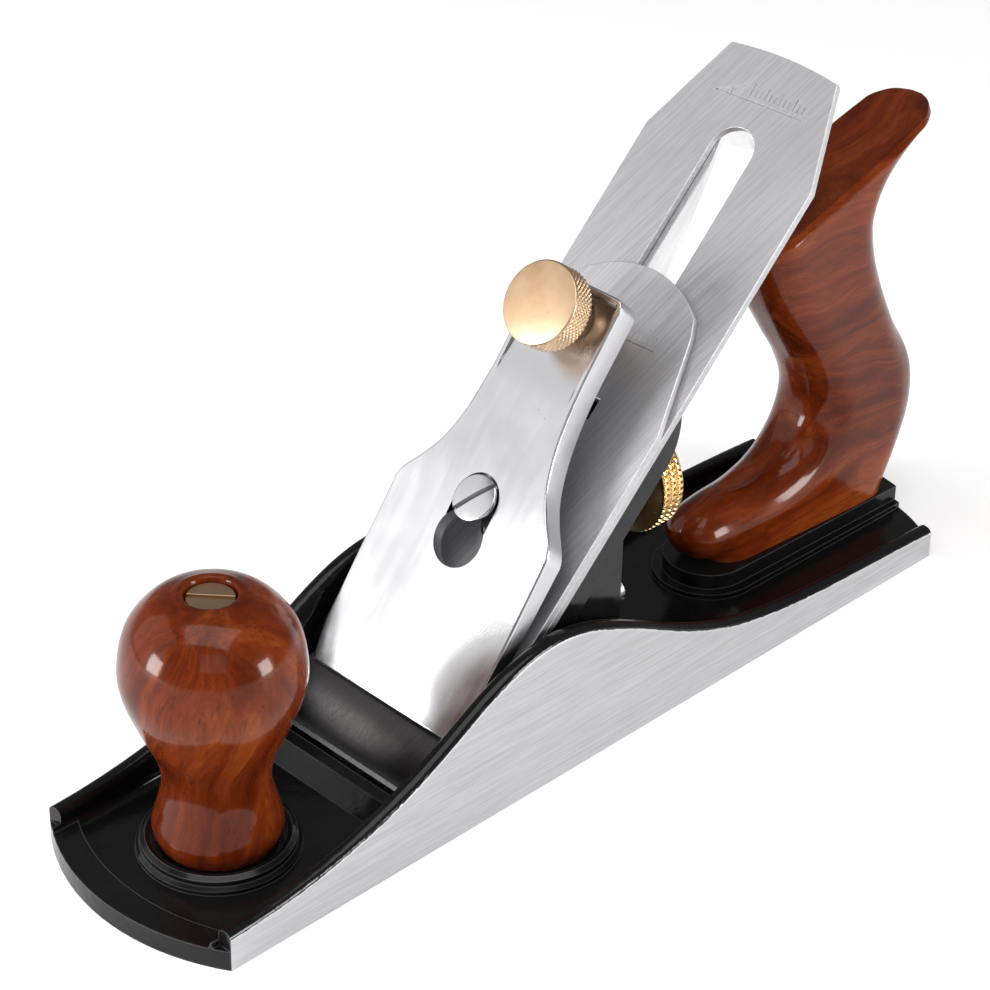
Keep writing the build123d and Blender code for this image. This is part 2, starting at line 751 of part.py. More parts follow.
with BuildPart() as cap:
    with BuildSketch(bed_side.offset(-30.0)):
        Polygon(
            (cap_front_u, 5.35),
            (cap_front_u, cap_top(cap_front_u)),
            (cap_end_u, cap_top(cap_end_u)),
            (cap_end_u + 1.0, cap_top(cap_end_u) - 6.6),
            (67.5, 7.2),
            (38.0, 4.2),
            align=None,
        )
    extrude(amount=60.0)
    with BuildSketch(bed):
        with BuildLine():
            near = Polyline((cap_front_u, -22.8), (29.0, -24.6), (66.5, -24.4), (68.6, -23.6))
            far = Polyline((cap_front_u, 22.8), (29.0, 24.6), (66.5, 24.4), (68.6, 23.6))
            Line(near @ 0, far @ 0)
            near_waist = Spline(near @ 1, (77.0, -17.6), (90.0, -13.3), (103.0, -12.5), (120.8, -12.9))
            far_waist = Spline(far @ 1, (77.0, 17.6), (90.0, 13.3), (103.0, 12.5), (120.8, 12.9))
            near_corner = RadiusArc(near_waist @ 1, (cap_end_u, -10.3), 2.6)
            far_corner = RadiusArc(far_waist @ 1, (cap_end_u, 10.3), -2.6)
            Line(near_corner @ 1, far_corner @ 1)
        make_face()
    extrude(amount=30.0, mode=Mode.INTERSECT)
    # hollow underside behind the front lip
    with BuildSketch(bed_side.offset(-10.2)):
        Polygon(
            (44.0, 3.0),
            (44.0, cap_top(44.0) - 2.6),
            (110.0, cap_top(110.0) - 2.6),
            (110.0, 3.0),
            align=None,
        )
    extrude(amount=20.4, mode=Mode.SUBTRACT)
    # keyhole: wide hole, narrow slot and the flat that the screw head clamps
    with BuildSketch(bed):
        with Locations((keyhole_u, 0)):
            Circle(6.8)
        with Locations(((keyhole_u + cap_screw_u) / 2, 0)):
            SlotCenterToCenter(cap_screw_u - keyhole_u, 8.0)
    extrude(amount=30.0, mode=Mode.SUBTRACT)
    with BuildSketch(bed.offset(13.0)):
        with Locations(((keyhole_u + cap_screw_u) / 2, 0)):
            SlotCenterToCenter(cap_screw_u - keyhole_u, 12.2)
    extrude(amount=6.0, mode=Mode.SUBTRACT)
    # threaded boss for the thumb screw
    cap_tilt = Plane(
        origin=(bed_point(thumb_u, cap_top(thumb_u))[0], 0, bed_point(thumb_u, cap_top(thumb_u))[1]),
        x_dir=(half * (1 - cap_rise), 0, half * (1 + cap_rise)),
        z_dir=(-half * (1 + cap_rise), 0, half * (1 - cap_rise)),
    )
    with BuildSketch(cap_tilt.offset(-8.2)):
        Circle(6.2)
    extrude(amount=7.0)
    with BuildSketch(cap_tilt.offset(-12.0)):
        Circle(3.3)
    extrude(amount=20.0, mode=Mode.SUBTRACT)
save(cap.part, "lever_cap")

with BuildPart() as cap_screw:
    with BuildSketch(bed.offset(-12.0)):
        with Locations((cap_screw_u, 0)):
            Circle(3.5)
    extrude(amount=25.2)
    with BuildSketch(bed.offset(13.05)):
        with Locations((cap_screw_u, 0)):
            Circle(5.65)
    extrude(amount=2.7)
    cap_screw_rims = cap_screw.edges().filter_by(GeomType.CIRCLE).sort_by(lambda e: e.center().Z - e.center().X)
    chamfer(cap_screw_rims[-1], 0.5)
    with BuildSketch(bed.offset(14.6)):
        with Locations(Location((cap_screw_u, 0, 0), (0, 0, -35))):
            Rectangle(13.0, 1.3)
    extrude(amount=2.0, mode=Mode.SUBTRACT)
save(cap_screw.part, "lever_cap_screw")

# ---------------------------------------------------------------- thumb screw
head_low = 4.2
head_high = 11.2
head_radius = 9.9
stud_length = 18.75
with BuildPart() as thumb_stud:
    with BuildSketch(cap_tilt.offset(-stud_length)):
        Circle(3.25)
    extrude(amount=stud_length + head_high - 3.0)
    stud_rims = thumb_stud.edges().filter_by(GeomType.CIRCLE).sort_by(lambda e: e.center().Z - e.center().X)
    chamfer(stud_rims[0], 1.6)
save(thumb_stud.part, "thumb_screw_stud")

with BuildPart() as thumb_head:
    with BuildSketch(cap_tilt.offset(head_low)):
        Circle(head_radius)
    extrude(amount=head_high - head_low)
    chamfer(thumb_head.edges().filter_by(GeomType.CIRCLE), 0.7)
    with BuildSketch(cap_tilt.offset(1.4)):
        Circle(5.6)
    extrude(amount=head_low - 1.4)
    with BuildSketch(cap_tilt.offset(0.4)):
        Circle(4.7)
    extrude(amount=1.0)
    with BuildSketch(cap_tilt.offset(-1)):
        Circle(3.3)
    extrude(amount=head_high - 1.9, mode=Mode.SUBTRACT)
save(thumb_head.part, "thumb_screw_head")
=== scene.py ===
"""Looks of a bench hand plane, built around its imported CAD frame. Metres throughout, row frame."""

from math import atan2, cos, hypot, pi, radians, sin, sqrt

import bmesh
import bpy
from mathutils import Matrix, Vector


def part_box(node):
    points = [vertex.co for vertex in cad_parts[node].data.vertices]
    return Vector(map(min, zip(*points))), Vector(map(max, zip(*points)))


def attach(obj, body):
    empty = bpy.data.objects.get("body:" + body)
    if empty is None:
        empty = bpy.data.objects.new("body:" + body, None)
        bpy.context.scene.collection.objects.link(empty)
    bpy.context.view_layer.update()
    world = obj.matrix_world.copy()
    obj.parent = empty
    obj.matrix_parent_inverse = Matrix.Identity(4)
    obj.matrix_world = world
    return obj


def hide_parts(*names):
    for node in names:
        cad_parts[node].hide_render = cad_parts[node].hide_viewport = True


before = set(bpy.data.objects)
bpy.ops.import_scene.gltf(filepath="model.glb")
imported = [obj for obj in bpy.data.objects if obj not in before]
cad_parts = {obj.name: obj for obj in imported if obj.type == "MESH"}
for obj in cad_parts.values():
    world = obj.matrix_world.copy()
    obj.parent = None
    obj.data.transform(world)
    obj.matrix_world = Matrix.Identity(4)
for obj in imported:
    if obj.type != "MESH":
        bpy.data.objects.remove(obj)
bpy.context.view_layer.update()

MM = 0.001
HALF = sqrt(0.5)
UP_BED = Vector((HALF, 0, HALF))
OFF_BED = Vector((-HALF, 0, HALF))
ACROSS = Vector((0, 1, 0))
iron_low, iron_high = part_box("cutting_iron")
EDGE_X = (iron_low[0] - iron_low[2]) / MM


def bed(u, y, d):
    """A point from its bed coordinates in millimetres: up the bed, across it, and off it."""
    return Vector((EDGE_X * MM, 0, 0)) + UP_BED * (u * MM) + ACROSS * (y * MM) + OFF_BED * (d * MM)


# ------------------------------------------------------------------ mesh helpers
def smoothstep(low, high, value):
    t = min(1.0, max(0.0, (value - low) / (high - low)))
    return t * t * (3 - 2 * t)


def ramp(points, x):
    """Straight-line interpolation through (x, value) points."""
    if x <= points[0][0]:
        return points[0][1]
    for (x0, v0), (x1, v1) in zip(points, points[1:]):
        if x <= x1:
            return v0 + (v1 - v0) * (x - x0) / (x1 - x0)
    return points[-1][1]


def curve_through(points, steps):
    """A smooth Catmull-Rom line through points of a plane, with so many steps between neighbours."""
    ends = [2 * Vector(points[0]) - Vector(points[1])] + [Vector(p) for p in points]
    ends.append(2 * ends[-1] - ends[-2])
    line = []
    for i in range(1, len(ends) - 2):
        a, b, c, d = ends[i - 1:i + 3]
        for k in range(steps):
            t = k / steps
            line.append(0.5 * (2 * b + (c - a) * t + (2 * a - 5 * b + 4 * c - d) * t * t
                               + (3 * b - a - 3 * c + d) * t ** 3))
    line.append(ends[-2])
    return line


def new_object(name, verts, faces, materials, body, face_materials=None, sharp=35):
    mesh = bpy.data.meshes.new(name)
    mesh.from_pydata([tuple(v) for v in verts], [], faces)
    return finish_object(name, mesh, materials, body, face_materials, sharp)


def finish_object(name, mesh, materials, body, face_materials=None, sharp=35):
    obj = bpy.data.objects.new(name, mesh)
    bpy.context.scene.collection.objects.link(obj)
    mesh.materials.clear()
    for m in materials:
        mesh.materials.append(m)
    if face_materials:
        mesh.polygons.foreach_set("material_index", face_materials)
    shade(mesh, sharp)
    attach(obj, body)
    return obj


def shade(mesh, sharp):
    mesh.polygons.foreach_set("use_smooth", [True] * len(mesh.polygons))
    mesh.set_sharp_from_angle(angle=radians(sharp))
    mesh.update()


def lathe(profile, turns, place, relief=None):
    """Vertices and faces of a turned shape. profile is (radius, height) in mm from the foot to the top."""
    verts = []
    faces = []
    for k, (r, h) in enumerate(profile):
        for i in range(turns):
            a = 2 * pi * i / turns
            rr = r + (relief(a, h, k) if relief else 0.0)
            verts.append(place @ Vector((rr * cos(a) * MM, rr * sin(a) * MM, h * MM)))
    for k in range(len(profile) - 1):
        for i in range(turns):
            j = (i + 1) % turns
            faces.append((k * turns + i, k * turns + j, (k + 1) * turns + j, (k + 1) * turns + i))
    return verts, faces


def closed_lathe(profile, turns, place, relief=None):
    """A turned ring whose profile closes on itself, such as a wheel or nut with a bore."""
    verts, faces = lathe(profile, turns, place, relief)
    last = (len(profile) - 1) * turns
    for i in range(turns):
        j = (i + 1) % turns
        faces.append((last + i, last + j, j, i))
    return verts, faces


def capped_lathe(profile, turns, place, relief=None):
    """A turned solid with flat ends."""
    verts, faces = lathe(profile, turns, place, relief)
    last = (len(profile) - 1) * turns
    faces.append(tuple(reversed(range(turns))))
    faces.append(tuple(range(last, last + turns)))
    return verts, faces


def axes_to(z_axis, x_axis, origin):
    z = Vector(z_axis).normalized()
    x = (Vector(x_axis) - Vector(x_axis).dot(z) * z).normalized()
    y = z.cross(x)
    m = Matrix((x, y, z)).transposed().to_4x4()
    m.translation = origin
    return m


def prism(points, low, high, place):
    """A straight prism over an outline in mm, for cutting."""
    n = len(points)
    verts = [place @ Vector((x * MM, y * MM, h * MM)) for h in (low, high) for x, y in points]
    faces = [tuple(reversed(range(n))), tuple(range(n, 2 * n))]
    faces += [(i, (i + 1) % n, n + (i + 1) % n, n + i) for i in range(n)]
    mesh = bpy.data.meshes.new("cutter")
    mesh.from_pydata([tuple(v) for v in verts], [], faces)
    obj = bpy.data.objects.new("cutter", mesh)
    bpy.context.scene.collection.objects.link(obj)
    return obj


def circle(x, y, r, n=64):
    return [(x + r * cos(2 * pi * i / n), y + r * sin(2 * pi * i / n)) for i in range(n)]


def slot_shape(x0, x1, r, n=24):
    """Outline of a straight slot along x with round ends of radius r."""
    right = [(x1 + r * cos(a), r * sin(a)) for a in (-pi / 2 + pi * i / n for i in range(n + 1))]
    left = [(x0 - r * cos(a), -r * sin(a)) for a in (-pi / 2 + pi * i / n for i in range(n + 1))]
    return right + left


def cut(obj, cutters, sharp=35):
    """Takes the cutters out of obj's mesh for good."""
    for c in cutters:
        m = obj.modifiers.new("cut", "BOOLEAN")
        m.operation = "DIFFERENCE"
        m.solver = "EXACT"
        m.object = c
    graph = bpy.context.evaluated_depsgraph_get()
    graph.update()
    mesh = bpy.data.meshes.new_from_object(obj.evaluated_get(graph))
    obj.modifiers.clear()
    if mesh.has_custom_normals:
        mesh.attributes.remove(mesh.attributes["custom_normal"])
    obj.data = mesh
    for c in cutters:
        bpy.data.objects.remove(c)
    shade(mesh, sharp)


def soften(obj, width, segments=2, angle=38):
    bevel = obj.modifiers.new("edge", "BEVEL")
    bevel.width = width * MM
    bevel.segments = segments
    bevel.limit_method = "ANGLE"
    bevel.angle_limit = radians(angle)
    bevel.harden_normals = True
    bevel.miter_outer = "MITER_ARC"


def refined(node, name, materials, body, sharp=32):
    """A welded copy of a CAD node's mesh that takes bevels and cuts, and stands for the node."""
    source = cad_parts[node]
    mesh = source.data.copy()
    mesh.name = name
    b = bmesh.new()
    b.from_mesh(mesh)
    bmesh.ops.remove_doubles(b, verts=b.verts, dist=2e-6)
    bmesh.ops.dissolve_limit(b, angle_limit=radians(0.3), verts=b.verts, edges=b.edges)
    b.to_mesh(mesh)
    b.free()
    if mesh.has_custom_normals:
        mesh.attributes.remove(mesh.attributes["custom_normal"])
    obj = finish_object(name, mesh, materials, body, sharp=sharp)
    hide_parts(node)
    return obj


# ------------------------------------------------------------------ material helpers
class Shading:
    """A Principled material and short ways to add nodes to it."""

    def __init__(self, name, **sockets):
        self.material = bpy.data.materials.new(name)
        self.material.use_nodes = True
        self.tree = self.material.node_tree
        self.shader = self.tree.nodes["Principled BSDF"]
        for key, value in sockets.items():
            self.shader.inputs[key.replace("_", " ")].default_value = value
        self.coordinates = self.add("ShaderNodeTexCoord").outputs["Object"]

    def add(self, kind, inputs=None, **settings):
        node = self.tree.nodes.new(kind)
        for key, value in settings.items():
            setattr(node, key, value)
        for key, value in (inputs or {}).items():
            if isinstance(value, bpy.types.NodeSocket):
                self.tree.links.new(value, node.inputs[key])
            else:
                node.inputs[key].default_value = value
        return node

    def set(self, key, value):
        if isinstance(value, bpy.types.NodeSocket):
            self.tree.links.new(value, self.shader.inputs[key])
        else:
            self.shader.inputs[key].default_value = value

    def space(self, turn=(0, 0, 0), stretch=(1, 1, 1), source=None):
        """Object coordinates turned by so many degrees, then stretched along the new axes."""
        turned = self.add("ShaderNodeMapping", {"Vector": source or self.coordinates,
                                                "Rotation": [radians(a) for a in turn]}).outputs[0]
        return self.stretched(turned, stretch)

    def vector_math(self, operation, inputs, output=0):
        return self.add("ShaderNodeVectorMath", inputs, operation=operation).outputs[output]

    def stretched(self, where, stretch):
        return self.vector_math("MULTIPLY", {0: where, 1: stretch})

    def up_bed(self):
        """Distance up the bed, in metres from the cutting edge's line."""
        height = self.vector_math("DOT_PRODUCT", {0: self.coordinates, 1: tuple(UP_BED)}, "Value")
        return self.math("SUBTRACT", height, EDGE_X * MM * HALF)

    def noise(self, scale, where=None, detail=3.0, rough=0.55, distortion=0.0):
        inputs = {"Vector": where or self.coordinates, "Scale": scale, "Detail": detail,
                  "Roughness": rough, "Distortion": distortion}
        return self.add("ShaderNodeTexNoise", inputs).outputs["Fac"]

    def spots(self, scale, where=None, feature="F1"):
        return self.add("ShaderNodeTexVoronoi", {"Vector": where or self.coordinates, "Scale": scale},
                        feature=feature).outputs["Distance"]

    def level(self, value, low, high, to_low=0.0, to_high=1.0):
        return self.add("ShaderNodeMapRange", {"Value": value, "From Min": low, "From Max": high,
                                               "To Min": to_low, "To Max": to_high}).outputs[0]

    def math(self, operation, a, b=0.0, clamp=False):
        return self.add("ShaderNodeMath", {0: a, 1: b}, operation=operation, use_clamp=clamp).outputs[0]

    def mix(self, factor, a, b):
        node = self.add("ShaderNodeMix", {0: factor, 6: a, 7: b}, data_type="RGBA")
        return node.outputs[2]

    def colours(self, value, stops):
        node = self.add("ShaderNodeValToRGB", {0: value})
        elements = node.color_ramp.elements
        while len(elements) < len(stops):
            elements.new(0.5)
        for element, (place, colour) in zip(elements, stops):
            element.position = place
            element.color = (*colour, 1)
        return node.outputs[0]

    def bump(self, height, strength, distance, normal=None):
        inputs = {"Height": height, "Strength": strength, "Distance": distance}
        if normal:
            inputs["Normal"] = normal
        return self.add("ShaderNodeBump", inputs).outputs[0]

    def edge_wear_and_highlight(self, radius, low=0.02, high=0.14):
        """0 on flat faces, 1 along sharp edges: how far a rounded normal leans from the true one. It marks
        rubbed edges, and painted edge highlights on the body.
        """
        rounded = self.add("ShaderNodeBevel", {"Radius": radius}, samples=4).outputs[0]
        true = self.add("ShaderNodeNewGeometry").outputs["Normal"]
        dot = self.vector_math("DOT_PRODUCT", {0: rounded, 1: true}, "Value")
        return self.level(self.math("SUBTRACT", 1.0, dot), low, high)


ROSEWOOD_TONES = [
    (0.30, (0.016, 0.0016, 0.0007)),
    (0.43, (0.085, 0.010, 0.0018)),
    (0.54, (0.20, 0.030, 0.0045)),
    (0.70, (0.38, 0.085, 0.014)),
]


def wood(name, turn, dark):
    """Glossy lacquered reddish-brown hardwood, its grain along the turned x axis. dark scales its tones."""
    s = Shading(name, Coat_Weight=0.36, Coat_Roughness=0.10, Coat_IOR=1.5, Specular_IOR_Level=0.08,
                Specular_Tint=(1.0, 0.55, 0.36, 1))
    along = s.space(turn)
    swirl = s.add("ShaderNodeTexNoise", {"Vector": along, "Scale": 28.0, "Detail": 2.0}).outputs["Color"]
    warp = s.vector_math("SUBTRACT", {0: swirl, 1: (0.5, 0.5, 0.5)})
    warp = s.vector_math("SCALE", {0: warp, "Scale": 0.016})
    bent = s.vector_math("ADD", {0: along, 1: warp})
    grain = s.stretched(bent, (0.13, 1.0, 1.0))
    bands = s.noise(105, grain, 6.0, 0.66, 0.9)
    cloud = s.noise(26, s.stretched(bent, (0.45, 1.0, 1.0)), 3.0, 0.5)
    fine = s.noise(900, grain, 3.0, 0.7)
    pores = s.noise(1500, s.stretched(along, (0.09, 1.0, 1.0)), 2.0, 0.5)
    pores = s.level(pores, 0.61, 0.70)
    tone = s.math("ADD", s.math("MULTIPLY", bands, 0.62), s.math("MULTIPLY", cloud, 0.38))
    stops = [(place, tuple(c * dark for c in colour)) for place, colour in ROSEWOOD_TONES]
    colour = s.colours(tone, stops)
    colour = s.mix(s.level(fine, 0.35, 0.7, 0.0, 0.45), colour, (0.075, 0.010, 0.002, 1))
    colour = s.mix(s.math("MULTIPLY", pores, 0.40), colour, (0.02, 0.003, 0.001, 1))
    s.set("Base Color", colour)
    s.set("Roughness", s.level(bands, 0.3, 0.7, 0.20, 0.32))
    s.set("Normal", s.bump(s.math("SUBTRACT", fine, pores), 0.25, 0.00006))
    s.set("Coat Normal", s.bump(s.noise(210, None, 2.0, 0.5), 0.09, 0.0003,
                                s.bump(pores, -0.12, 0.00004)))
    return s.material


def grinding_lines(s, lay, coarse, fine, coarse_share):
    """Fine parallel scratches along the x axis of lay. coarse and fine are (scale, stretch) of two layers."""
    wide = s.noise(coarse[0], s.stretched(lay, (coarse[1], 1, 1)), 4.0, 0.65)
    thin = s.noise(fine[0], s.stretched(lay, (fine[1], 1, 1)), 2.0, 0.7)
    return s.math("ADD", s.math("MULTIPLY", wide, coarse_share), s.math("MULTIPLY", thin, 1 - coarse_share))


def steel(name, colour, turn, roughness, streaks=1.0, marks=0.0, painted_shade_below=None):
    """Ground or brushed steel with its lines along the turned x axis, and near black painted shade below a
    height up the bed.
    """
    s = Shading(name, Metallic=1.0, Anisotropic=0.35)
    lay = s.space(turn)
    cloud = s.noise(45, None, 3.0, 0.5)
    lines = grinding_lines(s, lay, (1500, 0.045), (3200, 0.012), 0.55)
    shade_low = tuple(c * (1 - 0.20 * streaks) for c in colour)
    shade_high = tuple(min(1.0, c * (1 + 0.11 * streaks)) for c in colour)
    base = s.colours(lines, [(0.33, shade_low), (0.66, shade_high)])
    base = s.mix(s.level(cloud, 0.45, 0.75, 0.0, 0.18), base, (0.3, 0.28, 0.27, 1))
    height = lines
    if marks:
        pits = s.level(s.spots(95), 0.0, 0.035, 1.0, 0.0)
        keep = s.level(s.noise(120, None, 1.0), 0.55, 0.62)
        pits = s.math("MULTIPLY", s.math("MULTIPLY", pits, keep), marks)
        base = s.mix(pits, base, (0.035, 0.03, 0.028, 1))
        height = s.math("SUBTRACT", lines, s.math("MULTIPLY", pits, 1.5))
    base = s.mix(s.math("MULTIPLY", s.edge_wear_and_highlight(0.0003), 0.55), base, (0.86, 0.86, 0.87, 1))
    # Painted shade: below the given height up the bed the colour fades to near black, standing in for shade
    # there.
    if painted_shade_below:
        below = s.level(s.up_bed(), painted_shade_below - 0.003, painted_shade_below, 0.93, 0.0)
        base = s.mix(below, base, (0.030, 0.027, 0.026, 1))
    s.set("Base Color", base)
    s.set("Roughness", s.level(lines, 0.3, 0.7, roughness + 0.10, roughness - 0.06))
    s.set("Normal", s.bump(height, 0.20 * streaks, 0.00005))
    return s.material


def japan(s):
    """Colour, roughness and normal of glossy black enamel over a cast skin."""
    cast = s.noise(260, None, 3.0, 0.6)
    swell = s.noise(60, None, 2.0, 0.5)
    dust = s.level(s.noise(1900, None, 2.0, 0.6), 0.70, 0.80)
    colour = s.mix(s.math("MULTIPLY", dust, 0.35), (0.0055, 0.0055, 0.006, 1), (0.10, 0.095, 0.09, 1))
    colour = s.mix(s.level(swell, 0.45, 0.8, 0.0, 0.5), colour, (0.012, 0.0115, 0.0115, 1))
    rough = s.level(cast, 0.3, 0.75, 0.10, 0.24)
    normal = s.bump(cast, 0.26, 0.00035, s.bump(swell, 0.50, 0.0010))
    return colour, rough, normal


def enamel(name):
    s = Shading(name, Coat_Weight=0.15, Coat_Roughness=0.08, Specular_IOR_Level=0.22)
    colour, rough, normal = japan(s)
    worn = s.math("MULTIPLY", s.edge_wear_and_highlight(0.0004), s.level(s.noise(140), 0.56, 0.66))
    s.set("Base Color", s.mix(s.math("MULTIPLY", worn, 0.6), colour, (0.16, 0.15, 0.145, 1)))
    s.set("Roughness", rough)
    s.set("Normal", normal)
    return s.material


def plated(name, colour, roughness, pitted=0.6, waist=None):
    """Bright nickel plate over a buffed casting, with a painted dim reflection (greyer colour) above the waist's
    height up the bed.
    """
    s = Shading(name, Metallic=1.0)
    lay = s.space((0, 45, 0))
    buff = s.noise(420, s.stretched(lay, (0.05, 1, 1)), 4.0, 0.6)
    cloud = s.noise(38, None, 4.0, 0.55)
    waves = s.noise(48, None, 2.0, 0.5)
    specks = s.level(s.spots(210), 0.0, 0.055, 1.0, 0.0)
    specks = s.math("MULTIPLY", specks, s.level(s.noise(75, None, 2.0), 0.50, 0.60))
    base = s.mix(s.level(buff, 0.3, 0.75, 0.0, 0.22), colour, (0.58, 0.58, 0.6, 1))
    # Painted reflection: the plate turns greyer above the waist's height up the bed, standing in for a dimmer
    # reflection there.
    if waist:
        uneven = s.math("ADD", s.up_bed(), s.level(cloud, 0.3, 0.7, -0.006, 0.006))
        painted_dim_reflection = s.level(uneven, waist - 0.012, waist + 0.010, 0.0, 0.58)
        base = s.mix(painted_dim_reflection, base, (0.40, 0.40, 0.42, 1))
    base = s.mix(s.math("MULTIPLY", specks, pitted), base, (0.12, 0.11, 0.105, 1))
    s.set("Base Color", base)
    s.set("Roughness", s.math("ADD", s.level(cloud, 0.35, 0.7, roughness - 0.04, roughness + 0.09),
                              s.level(buff, 0.4, 0.8, 0.0, 0.07)))
    normal = s.bump(waves, 0.10, 0.0010)
    normal = s.bump(buff, 0.10, 0.00004, normal)
    s.set("Normal", s.bump(specks, -0.4 * pitted, 0.00008, normal))
    return s.material


def brass(name, colour, roughness, tarnish=0.5):
    s = Shading(name, Metallic=1.0)
    cloud = s.noise(130, None, 4.0, 0.6)
    smear = s.noise(34, None, 3.0, 0.5, 0.4)
    fine = s.noise(2600, None, 2.0, 0.6)
    specks = s.level(s.spots(420), 0.0, 0.09, 1.0, 0.0)
    specks = s.math("MULTIPLY", specks, s.level(s.noise(160, None, 1.0), 0.55, 0.62))
    dull = tuple(c * k for c, k in zip(colour, (0.66, 0.54, 0.46)))
    base = s.mix(s.level(cloud, 0.40, 0.78, 0.0, tarnish), (*colour, 1), (*dull, 1))
    base = s.mix(s.level(smear, 0.5, 0.75, 0.0, 0.35 * tarnish), base, (0.36, 0.20, 0.10, 1))
    base = s.mix(s.math("MULTIPLY", specks, 0.6), base, (0.16, 0.08, 0.04, 1))
    base = s.mix(s.math("MULTIPLY", s.edge_wear_and_highlight(0.00025), 0.35), base, (0.98, 0.86, 0.62, 1))
    s.set("Base Color", base)
    s.set("Roughness", s.level(cloud, 0.3, 0.75, roughness - 0.05, roughness + 0.12))
    s.set("Normal", s.bump(fine, 0.12, 0.00003, s.bump(cloud, 0.08, 0.0002)))
    return s.material


def casting_material(name, side_y):
    """The body: ground sides and sole, everything else japanned, with painted highlights along its edges."""
    s = Shading(name, Anisotropic=0.2, Specular_IOR_Level=0.24)
    colour, rough, normal = japan(s)
    # Painted highlight: the black enamel is lightened to grey along sharp edges, standing in for highlight
    # lines.
    colour = s.mix(s.math("MULTIPLY", s.edge_wear_and_highlight(0.0005), 0.5), colour, (0.15, 0.15, 0.16, 1))
    lines = grinding_lines(s, s.space(), (1400, 0.06), (2800, 0.01), 0.5)
    metal = s.colours(lines, [(0.33, (0.40, 0.40, 0.41)), (0.66, (0.55, 0.55, 0.56))])
    xyz = s.add("ShaderNodeSeparateXYZ", {0: s.coordinates}).outputs
    normals = s.add("ShaderNodeNewGeometry").outputs["Normal"]
    facing = s.add("ShaderNodeSeparateXYZ", {0: normals}).outputs
    wobble = s.level(s.noise(90, None, 3.0), 0.3, 0.7, -0.010, 0.010)
    faces_out = s.math("GREATER_THAN", s.math("ADD", s.math("ABSOLUTE", facing["Y"]), wobble), 0.955)
    far_out = s.math("GREATER_THAN", s.math("ABSOLUTE", xyz["Y"]), side_y - 0.0005)
    faces_down = s.math("LESS_THAN", facing["Z"], -0.93)
    at_floor = s.math("LESS_THAN", xyz["Z"], 0.0004)
    ground = s.math("MAXIMUM", s.math("MULTIPLY", faces_out, far_out), s.math("MULTIPLY", faces_down, at_floor))
    s.set("Base Color", s.mix(ground, colour, metal))
    s.set("Metallic", ground)
    ground_rough = s.level(lines, 0.3, 0.7, 0.46, 0.32)
    s.set("Roughness", s.add("ShaderNodeMix", {0: ground, 2: rough, 3: ground_rough}).outputs[0])
    ground_normal = s.bump(lines, 0.30, 0.00005)
    both = s.add("ShaderNodeMix", {0: ground, 4: normal, 5: ground_normal}, data_type="VECTOR").outputs[1]
    s.set("Normal", both)
    return s.material


CHEEK_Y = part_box("plane_body")[1][1]
ROSEWOOD = wood("lacquered_rosewood", (0, 0, 0), 0.72)
ROSEWOOD_KNOB = wood("lacquered_rosewood_knob", (0, 80, 20), 0.76)
CASTING = casting_material("ground_and_japanned_iron", CHEEK_Y)
JAPAN = enamel("black_japan")
BLADE = steel("ground_tool_steel", (0.49, 0.485, 0.50), (0, 45, 20), 0.54, marks=1.0)
# The chip breaker gets near black painted shade on its lower front, up to about 27 mm up the bed.
BREAKER = steel("brushed_breaker_steel", (0.53, 0.525, 0.54), (0, 45, 16), 0.56, marks=0.6,
                painted_shade_below=0.027)
SCREW = steel("machine_steel", (0.42, 0.42, 0.43), (0, 0, 0), 0.34, streaks=0.7)
# The lever cap gets the painted dim reflection, greyer from about 68 mm up the bed.
PLATE = plated("bright_nickel", (0.66, 0.66, 0.67, 1), 0.19, waist=0.068)
PLATE_SIDE = plated("cast_nickel_side", (0.52, 0.52, 0.54, 1), 0.34, pitted=0.4)
LEVER_PLATE = plated("polished_lever", (0.90, 0.90, 0.91, 1), 0.20, pitted=0.1)
PALE_BRASS = brass("satin_brass", (0.63, 0.45, 0.29), 0.34, 0.8)
KNURL_BRASS = brass("knurled_brass", (0.84, 0.58, 0.27), 0.25, 0.7)
DARK_IRON = enamel("yoke_enamel")

# ------------------------------------------------------------------ CAD nodes that keep their shape
for node, material in {
    "plane_body": CASTING, "frog": JAPAN, "yoke": DARK_IRON, "frog_screws": SCREW, "frog_washers": SCREW,
    "frog_adjusting_screw": SCREW, "frog_tab": SCREW, "tab_screw": SCREW, "wheel_stud": SCREW, "yoke_pin": SCREW,
    "wheel_bush": KNURL_BRASS, "lever_rivet": SCREW, "lateral_lever": LEVER_PLATE, "lateral_roller": SCREW,
    "knob_rod": SCREW, "tote_rod": SCREW, "thumb_screw_stud": PALE_BRASS, "chip_breaker_screw": SCREW,
}.items():
    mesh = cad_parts[node].data
    for i in range(len(mesh.materials)):
        mesh.materials[i] = material


# ------------------------------------------------------------------ blades with their engraved angle mark
def groove(place, x0, y0, x1, y1, width, depth):
    """A V-shaped cutter along a straight line on a face."""
    length = hypot(x1 - x0, y1 - y0)
    a = atan2(y1 - y0, x1 - x0)
    along = place @ Matrix.Translation(Vector((x0 * MM, y0 * MM, 0))) @ Matrix.Rotation(a, 4, "Z")
    w = width / 2
    section = [(-w, 0.05), (w, 0.05), (0, -depth)]
    verts = [along @ Vector((x * MM, y * MM, z * MM)) for x in (0, length) for y, z in section]
    faces = [(0, 1, 2), (5, 4, 3), (0, 3, 4, 1), (1, 4, 5, 2), (2, 5, 3, 0)]
    mesh = bpy.data.meshes.new("cutter")
    mesh.from_pydata([tuple(v) for v in verts], [], faces)
    b = bmesh.new()
    b.from_mesh(mesh)
    bmesh.ops.recalc_face_normals(b, faces=b.faces)
    b.to_mesh(mesh)
    b.free()
    obj = bpy.data.objects.new("cutter", mesh)
    bpy.context.scene.collection.objects.link(obj)
    return obj


MARK_WIDTH = 0.62
MARK_DEPTH = 0.34
MARK_LENGTH = 25.6
ARC_RADIUS = 4.4
TICKS = 12
TICK_START = 9.4
TICK_STEP = 1.38


